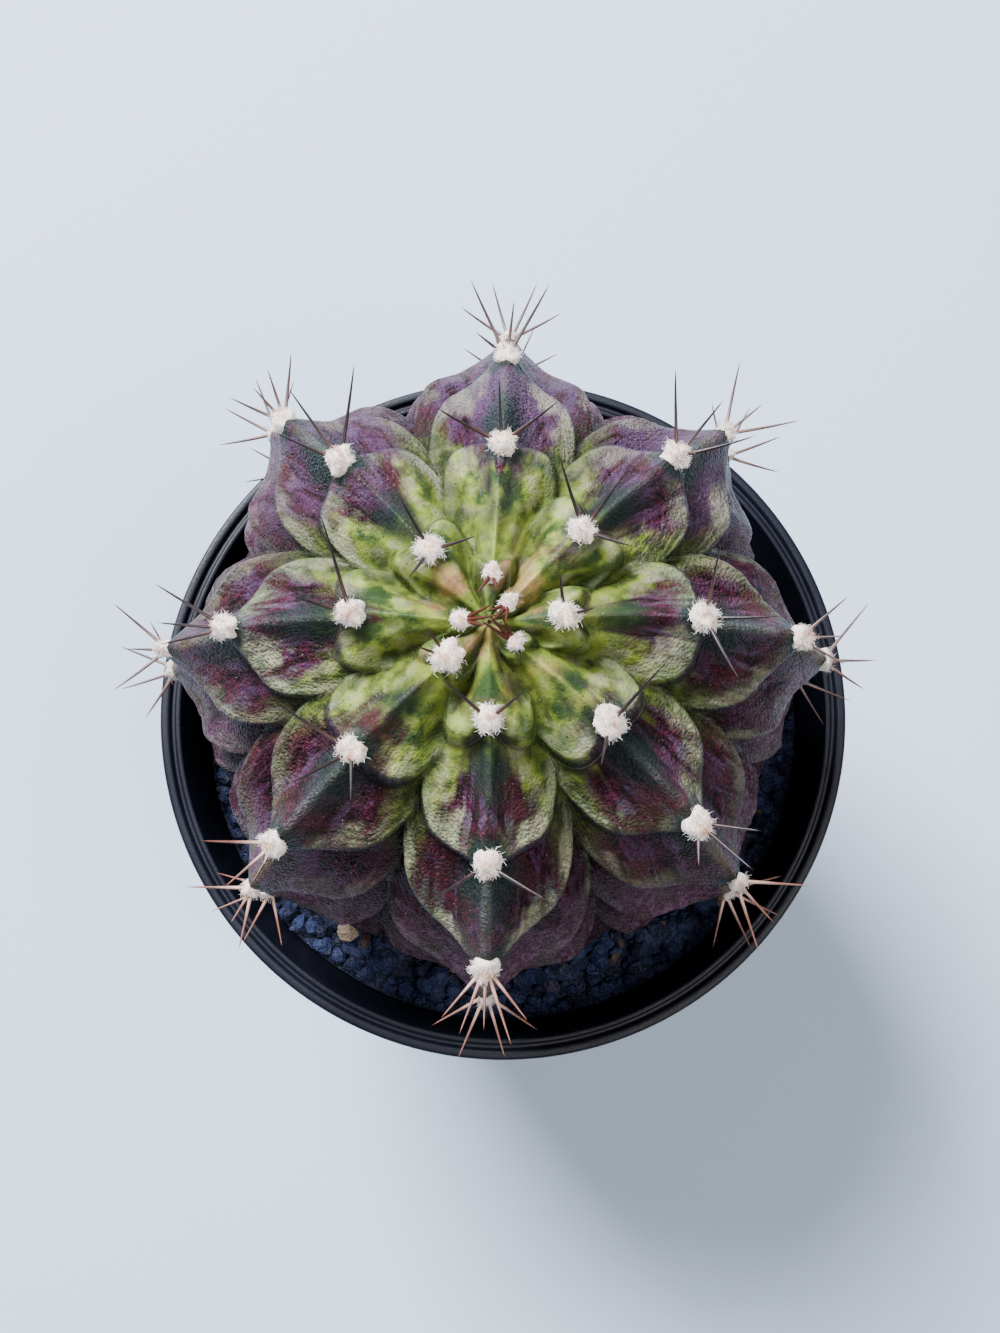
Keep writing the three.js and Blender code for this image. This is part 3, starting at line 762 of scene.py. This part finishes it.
def makeSpines(s, material):
    # tapered tubes that start inside a pad, follow the turn of their fan and bend a little upwards
    angle, bearing, centre, outward, sideways, down = areoleSeats
    rows = [(n, *spine) for n in range(plant["areoles"]) for spine in fans.get(n, s["hiddenFan"])]
    owner, turn, length = np.array(rows, float).T
    owner = owner.astype(int)
    turn = np.radians(turn)
    start, loss, least = s["rise"]
    rise = np.radians(np.maximum(start - loss * np.degrees(angle[owner]), least))
    direction = aroundAxis(np.cos(rise), bearing[owner] + turn, np.sin(rise))
    over = unit(np.array([0, 0, 1.0]) - direction * direction[:, 2:])
    size = padSize(owner)[:, None]
    across, lift = s["seat"]
    root = centre[owner] - direction * s["rootDepth"] + outward[owner] * lift * size
    root = root + sideways[owner] * across * size * np.sin(turn)[:, None]
    root = root + down[owner] * across * size * np.cos(turn)[:, None]
    step = np.linspace(0, 1, s["steps"])
    full = (length + s["rootDepth"])[:, None, None]
    bend = s["bend"] * length[:, None, None] * (2 * step[None, :, None] - 1) ** 2
    paths = root[:, None] + direction[:, None] * full * step[None, :, None] + over[:, None] * bend
    base = np.where(owner < pads["young"], s["youngRadius"], s["radius"])[:, None]
    power, even = s["taper"]
    radii = base * (1 - step[None]) ** power * (1 - even * step[None]) + s["tip"]
    points, quads, caps = sweep(paths, radii, s["sides"])
    piece = makePiece("cactusSpines", points, [quads, caps], material, ["cactus"])
    along = np.repeat(np.broadcast_to(step, radii.shape).ravel(), s["sides"])
    perSpine = np.stack([owner / plant["areoles"], hashed(np.arange(owner.size), 5)], -1)
    age, own = np.repeat(perSpine, s["steps"] * s["sides"], 0).T
    addAttribute(piece, "spine", along, age, own)
    return piece


spineTone = {
    "dark": (32, 20, 24), "brown": (70, 42, 36), "young": (68, 24, 12),
    "horn": (196, 160, 146), "tip": (110, 66, 52),
}


def makeSpineMaterial(tone):
    # brown to dark on the upper spines, horn with darker tips on the outer ones
    s = Shading("spineHorn", tone)
    along, age, own = s.attribute("spine")
    mottled = s.noise(2200.0, 3.0)
    upper = s.blend(s.rise(s.plus(along, own, 0.4), 0.2, 0.75), "brown", "dark")
    outer = s.blend(s.rise(s.plus(along, mottled, 0.2), 0.3, 0.75), "horn", "tip")
    front = s.rise(s.parts(s.objectPoint)[1], -0.026, 0.0, 1.0, 0.25)
    colour = s.blend(s.times(s.rise(s.plus(age, own, 0.12), 0.5, 0.64), front), upper, outer)
    colour = s.blend(s.rise(age, 0.07, 0.12), "young", colour)
    colour = s.blend(1.0, colour, s.blend(mottled, (0.7, 0.7, 0.7), (1.3, 1.3, 1.3)), "MULTIPLY")
    s.finish(colour, s.rise(mottled, 0.3, 0.7, 0.32, 0.5))
    s.relief(s.noise(6000.0, 2.0), 0.00004, 0.6)
    return s.material


spinePiece = makeSpines(spines, makeSpineMaterial(spineTone))
print("spines:", len(spinePiece.data.polygons), "faces")


# Wool pads: a felted core with curled fibres standing out of it

wool = {
    "coreShare": 0.8,
    "upperFibres": 430, "lowerFibres": 130, "youngFibres": 200,
    "upperPads": 26,
    "fibreLength": (0.22, 0.62),
    "fibreRadius": 0.036,
    "tufts": 32,
    "tuftPull": 0.6, "curl": (0.15, 0.55),
    "steps": 3,
    "seed": 5,
}


def icosphere(subdivisions):
    # points and triangles of a ball of radius 1
    shape = bmesh.new()
    bmesh.ops.create_icosphere(shape, subdivisions=subdivisions, radius=1.0)
    points = np.array([v.co[:] for v in shape.verts])
    faces = np.array([[v.index for v in f.verts] for f in shape.faces])
    shape.free()
    return points, faces


def makeWool(w, material):
    # a lumpy ball on each areole, and tufts of short curled tubes that start on it
    centre, outward, sideways, down = areoleSeats[2:]
    random = np.random.default_rng(w["seed"])
    count = plant["areoles"]
    n = np.arange(count)
    size = padSize(n)
    ball, ballFaces = icosphere(3)
    wide, tall = size * lerp(0.85, 1.1, hashed(n, 21)), size * lerp(0.95, 1.3, hashed(n, 22))
    axes = np.stack([sideways * wide[:, None], down * tall[:, None], outward * 0.95 * size[:, None]], 1)

    def lumpy(spots, owners):
        return w["coreShare"] * (0.5 + 0.9 * layeredNoise(spots * 2.1 + owners * 9.7, 1.0, 31, 2))[..., None]

    def domeSpots(share, turn):
        z = lerp(-0.15, 1.0, share)
        return aroundAxis(np.sqrt(1 - z ** 2), tau * turn, z)

    local = ball[None] * lumpy(ball[None], n[:, None, None])
    cores = (centre[:, None] + np.einsum("nki,nij->nkj", local, axes)).reshape(-1, 3)
    coreFaces = (ballFaces[None] + (n * len(ball))[:, None, None]).reshape(-1, 3)

    # fibres: each starts on a core, leans towards its tuft, and curls
    number = np.where(n < w["upperPads"], w["upperFibres"], w["lowerFibres"])
    number = np.where(n < pads["young"], w["youngFibres"], number)
    owner = np.repeat(n, number)
    tuft = owner * w["tufts"] + random.integers(0, w["tufts"], owner.size)
    middle = domeSpots(hashed(tuft, 1), hashed(tuft, 2))
    spot = unit(lerp(domeSpots(random.random(owner.size), random.random(owner.size)), middle, w["tuftPull"]))
    root = centre[owner] + np.einsum("ni,nij->nj", spot * lumpy(spot, owner[:, None]) * 0.9, axes[owner])
    direction = unit(np.einsum("ni,nij->nj", middle + random.normal(0, 0.45, spot.shape), axes[owner]))
    swing = unit(np.cross(direction, random.normal(0, 1, spot.shape)))
    swirl = np.cross(direction, swing)
    length = random.uniform(*w["fibreLength"], owner.size) * np.where(owner < pads["young"], 0.7, 1.0)
    length = length * lerp(0.6, 1.4, hashed(tuft, 4))
    step = np.linspace(0, 1, w["steps"])[None, :, None]
    curl = random.uniform(*w["curl"], owner.size)[:, None, None]
    phase = random.uniform(0, tau, owner.size)[:, None, None]
    long = length[:, None, None]
    paths = root[:, None] + direction[:, None] * long * step
    paths = paths + swing[:, None] * long * curl * (np.sin(3.5 * step + phase) - np.sin(phase))
    paths = paths + swirl[:, None] * long * curl * 0.7 * (np.cos(3.1 * step + phase) - np.cos(phase))
    radii = np.broadcast_to(w["fibreRadius"] * (1 - 0.6 * step[..., 0]), (owner.size, w["steps"]))
    sides = 3
    points, quads, caps = sweep(paths, radii, sides)
    first = len(cores)
    piece = makePiece("areoleWool", np.concatenate([cores, points]),
                      [coreFaces, quads + first, caps + first], material, ["cactus"])
    perPoint = np.concatenate([np.repeat(n, len(ball)), np.repeat(owner, w["steps"] * sides)])
    alongFibre = np.repeat(np.linspace(0, 1, w["steps"]), sides)
    outside = np.concatenate([np.zeros(first), np.tile(alongFibre, owner.size)])
    upward = np.concatenate([np.tile(ball[:, 2], count), np.repeat(spot[:, 2], w["steps"] * sides)])
    addAttribute(piece, "tuft", perPoint / count, outside, upward)
    return piece


woolTone = {
    "white": (250, 248, 244), "cream": (240, 222, 206), "peach": (220, 164, 134),
    "old": (196, 184, 174),
}


def makeWoolMaterial(tone):
    # white to cream, peach inside the pads, duller on old ones
    s = Shading("areoleWool", tone)
    age, outside, upward = s.attribute("tuft")
    blotch = s.noise(900.0, 3.0)
    middle = s.times(s.rise(upward, 0.55, 0.95), s.rise(blotch, 0.42, 0.56, 0.3, 1.0))
    inner = s.maths("MAXIMUM", s.rise(outside, 0.0, 0.5, 0.4, 0.0), s.times(middle, 0.8))
    white = s.blend(s.rise(blotch, 0.5, 0.7), "white", "cream")
    colour = s.coats(white, (inner, "peach"), (s.rise(age, 0.6, 0.85), "old"))
    s.finish(colour, s.rise(blotch, 0.2, 0.8, 0.8, 0.98), {"Sheen Weight": 0.4})
    s.relief(s.noise(5200.0, 3.0, 0.7), 0.00012)
    return s.material


woolPiece = makeWool(wool, makeWoolMaterial(woolTone))
print("wool:", len(woolPiece.data.polygons), "faces")


# Grit: a rough bed and loose crushed grains

grit = {
    "top": 63.0, "edge": 40.9, "floor": 1.9, "floorRadius": 29.7, "gap": 0.3,
    "sides": 160, "rings": 34,
    "unevenness": 1.6,
    "grains": 2300, "wallGrains": 420,
    "grainSize": (0.75, 1.9), "wallShare": 0.7, "stretch": (0.7, 1.25),
    "cuts": 8, "cutReach": (0.55, 0.95),
    "inner": 21.0, "clearance": 23.0,
    "seed": 9,
}


def cubeBall():
    # a cube with four squares on each side, blown up to a ball: 26 points and 24 faces
    steps = np.array([-1.0, 0.0, 1.0])
    grid = np.array(np.meshgrid(steps, steps, steps)).reshape(3, -1).T
    points = grid[np.abs(grid).max(1) > 0.5]
    faces = []
    for axis in range(3):
        for side in (-1.0, 1.0):
            for a, b in ((-1, -1), (0, -1), (-1, 0), (0, 0)):
                square = [(a, b), (a + 1, b), (a + 1, b + 1), (a, b + 1)]
                square = [np.insert(np.array(spot, float), axis, side) for spot in square]
                corners = [int(np.abs(points - spot).sum(1).argmin()) for spot in square]
                outward = np.cross(square[1] - square[0], square[3] - square[0])
                faces.append(corners if outward[axis] * side > 0 else corners[::-1])
    return unit(points), np.array(faces)


def crushedGrains(g):
    # balls cut by random planes: each point moves in to the nearest of its planes
    random = np.random.default_rng(g["seed"])
    count = g["grains"] + g["wallGrains"]
    ball, faces = cubeBall()
    planes = unit(random.normal(0, 1, (count, g["cuts"], 3)))
    reach = random.uniform(*g["cutReach"], (count, g["cuts"]))
    facing = np.einsum("ki,npi->nkp", ball, planes)
    limit = np.where(facing > 0.05, reach[:, None] / np.maximum(facing, 0.05), 9.0).min(-1)
    local = ball[None] * np.minimum(limit, 1.0)[..., None]
    byWall = np.arange(count) >= g["grains"]
    size = lerp(*g["grainSize"], random.random(count) ** 1.6) * np.where(byWall, g["wallShare"], 1.0)
    stretch = random.uniform(*g["stretch"], (count, 1, 3))
    turns = np.linalg.qr(random.normal(0, 1, (count, 3, 3)))[0]
    turns = turns * np.sign(np.linalg.det(turns))[:, None, None]
    local = np.einsum("nki,nij->nkj", local * stretch * size[:, None, None], turns)
    edge = g["edge"] - 1.15 * size
    inner = np.where(byWall, edge - 0.6, g["inner"])
    radius = np.sqrt(lerp(inner ** 2, edge ** 2, random.random(count)))
    middle = aroundAxis(radius, random.uniform(0, tau, count), g["top"] + 0.4 * size)
    fromAxis = np.hypot(*(middle[:, :2] - plant["axis"]).T)
    middle[:, 2] += random.uniform(-0.7, 1.0, count) * smoothStep((fromAxis - 27) / 4)
    keep = fromAxis > g["clearance"]
    placed = (local + middle[:, None])[keep]
    total = int(keep.sum())
    allFaces = (faces[None] + (np.arange(total) * len(ball))[:, None, None]).reshape(-1, faces.shape[1])
    return placed.reshape(-1, 3), allFaces, np.repeat(random.random(total), len(ball))


def makeGrit(g, material):
    # the bed: rings up the wall, over the top to the collar's hole, rough by noise, and down the hole
    turn = np.arange(g["sides"]) * tau / g["sides"]
    axis = np.array(plant["axis"])
    hole = plant["collar"] + 0.4
    foot = plant["foot"] - g["gap"]
    wall = [(0.5, g["floor"]), (g["floorRadius"], g["floor"]), (g["floorRadius"] + 0.9, g["floor"] + 1.2),
            (g["edge"], g["top"] - 1.0)]
    rings = [aroundAxis(r, turn, z) for r, z in wall]
    for share in np.linspace(0, 1, g["rings"]):
        flat = aroundAxis(lerp(g["edge"] - g["gap"], hole, share), turn, g["top"], axis * share)
        rough = g["unevenness"] * math.sin(math.pi * min(1, 0.1 + share * 0.85))
        flat[:, 2] += (layeredNoise(flat, 0.45, 41) - 0.55) * rough
        rings.append(flat)
    rings += [aroundAxis(r, turn, foot, axis) for r in (hole, 0.5)]
    bedPoints, bedFaces = closeGrid(np.stack(rings), np.array([[0, 0, g["floor"]], [*axis, foot]]))
    grainPoints, grainFaces, own = crushedGrains(g)
    offset = len(bedPoints)
    piece = makePiece("potGrit", np.concatenate([bedPoints, grainPoints]), [*bedFaces, grainFaces + offset],
                      material, ["soil"], smooth=False)
    tint = np.concatenate([np.full(offset, 0.2), own])
    addAttribute(piece, "grain", tint, tint, tint)
    return piece


gritTone = {
    "dark": (12, 17, 38), "blue": (28, 37, 68), "brown": (64, 50, 46),
    "pale": (150, 132, 116), "dust": (84, 92, 120),
}


def makeGritMaterial(tone):
    # dark to blue by grain, with a few brown and pale ones
    s = Shading("lavaGrit", tone)
    own = s.attribute("grain")[0]
    speckle = s.noise(1500.0, 4.0, 0.65)
    colour = s.coats(
        s.blend(s.rise(s.plus(own, speckle, 0.3), 0.35, 0.8), "dark", "blue"),
        (s.rise(own, 0.95, 0.96), "brown"), (s.rise(own, 0.995, 0.996), "pale"),
        (s.dust(180.0, 4200.0, 0.25), "dust"))
    s.finish(colour, s.rise(speckle, 0.3, 0.7, 0.45, 0.8), {"Specular IOR Level": 0.2})
    s.relief(s.plus(s.times(speckle, 1.2), s.rise(s.cells(2600.0), 0.1, 0.5)), 0.0002, 0.8)
    return s.material


gritPiece = makeGrit(grit, makeGritMaterial(gritTone))
print("grit:", len(gritPiece.data.polygons), "faces")


# Pot: a turned profile with rounded edges, and drain holes cut through its base

pot = {
    "height": 75.0, "rimRadius": 45.0, "band": 6.0, "wallTop": 43.3, "baseRadius": 32.0,
    "wall": 1.2, "base": 1.6,
    # up to the rim and down inside it: inward from its radius, below its top, and rounding
    "rimSteps": [(0, 0, 0.5), (1.15, 0, 0.3), (1.45, 0.62, 0.12), (1.8, 0.62, 0.12), (2.05, 0.4, 0.15),
                 (2.65, 0.42, 0.3)],
    "sides": 224,
    "drainHoles": 8, "drainRadius": 3.0, "drainRing": 22.0,
}


def innerRadius(p, z):
    # a straight taper from the base to the band
    share = (z - p["base"]) / (p["height"] - p["band"] - p["base"])
    return p["baseRadius"] - p["wall"] + (p["wallTop"] - p["baseRadius"]) * share


def roundedProfile(corners, steps=5):
    # each corner (r, z, bend) becomes an arc-like curve from bend before it to bend after it
    corners = np.array(corners, float)
    out = [corners[0, :2]]
    for before, here, after in zip(corners[:-2], corners[1:-1], corners[2:]):
        into, away = unit(before[:2] - here[:2]), unit(after[:2] - here[:2])
        bend = here[2]
        start, end = here[:2] + into * bend, here[:2] + away * bend
        t = np.linspace(0, 1, steps)[:, None]
        out += list((1 - t) ** 2 * start + 2 * t * (1 - t) * here[:2] + t ** 2 * end)
    out.append(corners[-1, :2])
    return np.array(out)


def makePot(p, material):
    # a profile turned round the axis: out along the base, up the wall, over the rim and down inside
    top, rim, base = p["height"], p["rimRadius"], p["base"]
    bandFoot = top - p["band"]
    corners = [(0.4, 0, 0), (p["baseRadius"], 0, 0.9), (p["wallTop"], bandFoot - 0.6, 0.25),
               (rim, bandFoot + 0.05, 0.45)]
    corners += [(rim - inward, top - below, bend) for inward, below, bend in p["rimSteps"]]
    corners += [(innerRadius(p, bandFoot), bandFoot, 0.8), (innerRadius(p, 2.6), 2.6, 0.6),
                (innerRadius(p, base) - 1.2, base, 0.6), (0.4, base, 0)]
    profile = roundedProfile(corners)
    turn = np.arange(p["sides"]) * tau / p["sides"]
    grid = aroundAxis(profile[:, :1], turn, profile[:, 1:])
    points, faces = closeGrid(grid, np.array([[0, 0, 0], [0, 0, base]]))
    piece = makePiece("nurseryPot", points, faces, material, ["pot"])
    cutDrainHoles(piece, p)
    return piece


def cutDrainHoles(piece, p):
    # upright drills on a ring, taken out of the base
    turn = (np.arange(p["drainHoles"]) + 0.5) * tau / p["drainHoles"]
    feet = aroundAxis(p["drainRing"], turn, -2.0)
    paths = np.stack([feet, feet + [0, 0, 3.0], feet + [0, 0, 6.0]], 1)
    points, quads, caps = sweep(paths, np.full((len(turn), 3), p["drainRadius"]), 32)
    drills = addToScene("drills", newMesh("drills", points, quads.tolist() + caps.tolist()))
    cut = piece.modifiers.new("drain", "BOOLEAN")
    cut.operation = "DIFFERENCE"
    cut.solver = "EXACT"
    cut.object = drills
    result = bpy.data.meshes.new_from_object(piece.evaluated_get(bpy.context.evaluated_depsgraph_get()))
    piece.modifiers.clear()
    piece.data = result
    bpy.data.objects.remove(drills)


potTone = {"black": (10, 12, 22), "worn": (12, 16, 30), "dust": (46, 49, 58)}


def makePotMaterial(tone):
    # near black in soft clouds, worn on top of the rim
    s = Shading("potPlastic", tone)
    height = s.parts(s.objectPoint)[2]
    cloud = s.noise(70.0, 4.0)
    fine = s.noise(3200.0, 3.0, 0.6)
    plastic = s.blend(s.rise(cloud, 0.35, 0.7), "black", tuple(1.35 * v for v in s.tone["black"]))
    scuffs = s.rise(s.noise(900.0, 4.0, 0.7), 0.45, 0.7, 0.1, 0.55)
    scuffs = s.times(s.rise(height, 0.0735, 0.0749), scuffs)
    dust = s.dust(60.0, 2400.0, s.rise(height, 0.004, 0.05, 0.4, 0.1))
    colour = s.coats(plastic, (scuffs, "worn"), (dust, "dust"))
    s.finish(colour, s.plus(s.rise(cloud, 0.3, 0.7, 0.34, 0.46), fine, 0.08), {"Specular IOR Level": 0.2})
    turned = s.maths("SINE", s.times(height, 9000.0))
    s.relief(s.plus(fine, turned, 0.12), 0.00006, 0.7)
    return s.material


potPiece = makePot(pot, makePotMaterial(potTone))
print("pot:", len(potPiece.data.polygons), "faces")


# Studio: a pale floor and soft lights

studio = {
    "floor": grown(176, 192, 212), "floorRadius": 3600.0, "floorSides": 96,
    "aim": (0, 0, 90),
    "sky": (0.74, 0.85, 1.0), "skyStrength": 0.17,
    "key": {"place": (-430, 610, 870), "size": 440, "power": 57.0, "tint": (0.95, 0.96, 1.0)},
    "fill": {"place": (380, -260, 1050), "size": 600, "power": 11.0, "tint": (1.0, 0.97, 0.93)},
}


def makeStudio(s):
    # a round floor, an even sky, and two lamps aimed at the plant
    turn = np.arange(s["floorSides"]) * tau / s["floorSides"]
    edge = aroundAxis(s["floorRadius"], turn, 0.0)
    floor = addToScene("floor", newMesh("floor", edge, [list(range(s["floorSides"]))]))
    paint = Shading("studioFloor")
    paint.finish(s["floor"], 0.85)
    floor.data.materials.append(paint.material)
    world = bpy.data.worlds.new("studio")
    bpy.context.scene.world = world
    world.use_nodes = True
    background = world.node_tree.nodes["Background"]
    background.inputs["Color"].default_value = (*s["sky"], 1.0)
    background.inputs["Strength"].default_value = s["skyStrength"]
    for name in ("key", "fill"):
        light = bpy.data.lights.new(name, "AREA")
        light.energy = s[name]["power"]
        light.color = s[name]["tint"]
        light.size = s[name]["size"] * mm
        lamp = addToScene(name, light)
        lamp.location = Vector(s[name]["place"]) * mm
        aim = Vector(s["aim"]) * mm - lamp.location
        lamp.rotation_euler = aim.to_track_quat("-Z", "Y").to_euler()


makeStudio(studio)
print("studio ready")
